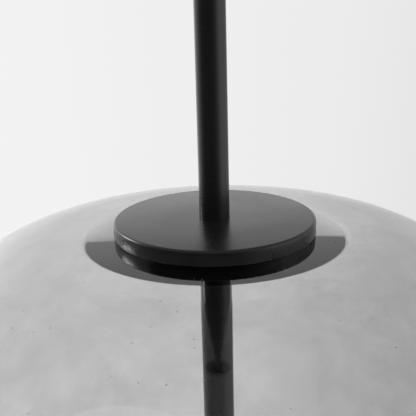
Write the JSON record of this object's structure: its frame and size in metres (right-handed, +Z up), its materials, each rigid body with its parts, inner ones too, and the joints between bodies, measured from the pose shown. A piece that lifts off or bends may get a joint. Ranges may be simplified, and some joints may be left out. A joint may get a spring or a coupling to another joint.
{
  "type": "globe floor lamp",
  "caption": "Floor lamp with a wide smoked glass globe threaded on a slim black stem, a black disc on its crown, a round weighted base and a round dimmer knob on top.",
  "frame": {"origin": "on the floor under the stem's axis, at the middle of the base's underside", "axes": "+Z up along the stem, -Y the front, the cable inlet at the back on +Y"},
  "size_m": [0.4025, 0.4026, 1.79],
  "materials": {
    "black_metal": "fine satin black powder coat",
    "smoked_glass": "clear grey smoked glass, glossy",
    "opal_diffuser": "white opal, matt",
    "cast_iron": "rough casting, primed",
    "black_rubber": "matt",
    "zinc_steel": "zinc plated",
    "aluminium": "turned, plain",
    "brass": "turned",
    "circuit_board": "white solder mask",
    "led_phosphor": "yellow phosphor",
    "driver_plastic": "moulded, fine grain",
    "black_plastic": "moulded, fine grain",
    "cable_sheath": "smooth sheath"
  },
  "bodies": {
    "stand": {"base_pad": "black_rubber", "base_weight": "cast_iron", "base_cover": "black_metal", "cover_screws": "zinc_steel", "stem_flange": "zinc_steel", "flange_screws": "zinc_steel", "foot_collar": "black_metal", "cable_inlet": "black_plastic", "driver_case": "driver_plastic", "driver_lid": "driver_plastic", "driver_board": "circuit_board", "pocket_plate": "zinc_steel", "plate_screws": "zinc_steel", "lower_stem": "black_metal", "middle_stem": "black_metal", "upper_stem": "black_metal", "lower_joiner": "zinc_steel", "upper_joiner": "zinc_steel", "inner_cable": "cable_sheath", "seat_plate": "black_metal", "seat_gasket": "black_rubber", "seat_collar": "black_metal", "collar_grub": "zinc_steel", "light_carrier": "aluminium", "seat_screws": "zinc_steel", "led_boards": "circuit_board", "led_chips": "led_phosphor", "diffuser": "opal_diffuser", "diffuser_cap": "black_metal", "diffuser_screws": "zinc_steel", "dimmer": "black_plastic", "top_bush": "black_metal"},
    "globe": {"glass_globe": "smoked_glass", "glass_collar": "smoked_glass"},
    "cap": {"cap_disc": "black_metal", "cap_ring": "black_rubber", "cap_gasket": "black_rubber"},
    "knob": {"dimmer_knob": "black_metal", "knob_insert": "brass", "knob_shaft": "zinc_steel"}
  },
  "joints": [
    {"name": "globe_lift", "type": "slide", "parent": "stand", "child": "globe", "axis": [0, 0, 1], "range_m": [0, 0.2]},
    {"name": "cap_lift", "type": "slide", "parent": "globe", "child": "cap", "axis": [0, 0, 1], "range_m": [0, 0.3]},
    {"name": "dimmer_turn", "type": "hinge", "parent": "stand", "child": "knob", "pos_m": [0, 0, 1.783], "axis": [0, 0, 1], "range_deg": [0, 300]}
  ]
}
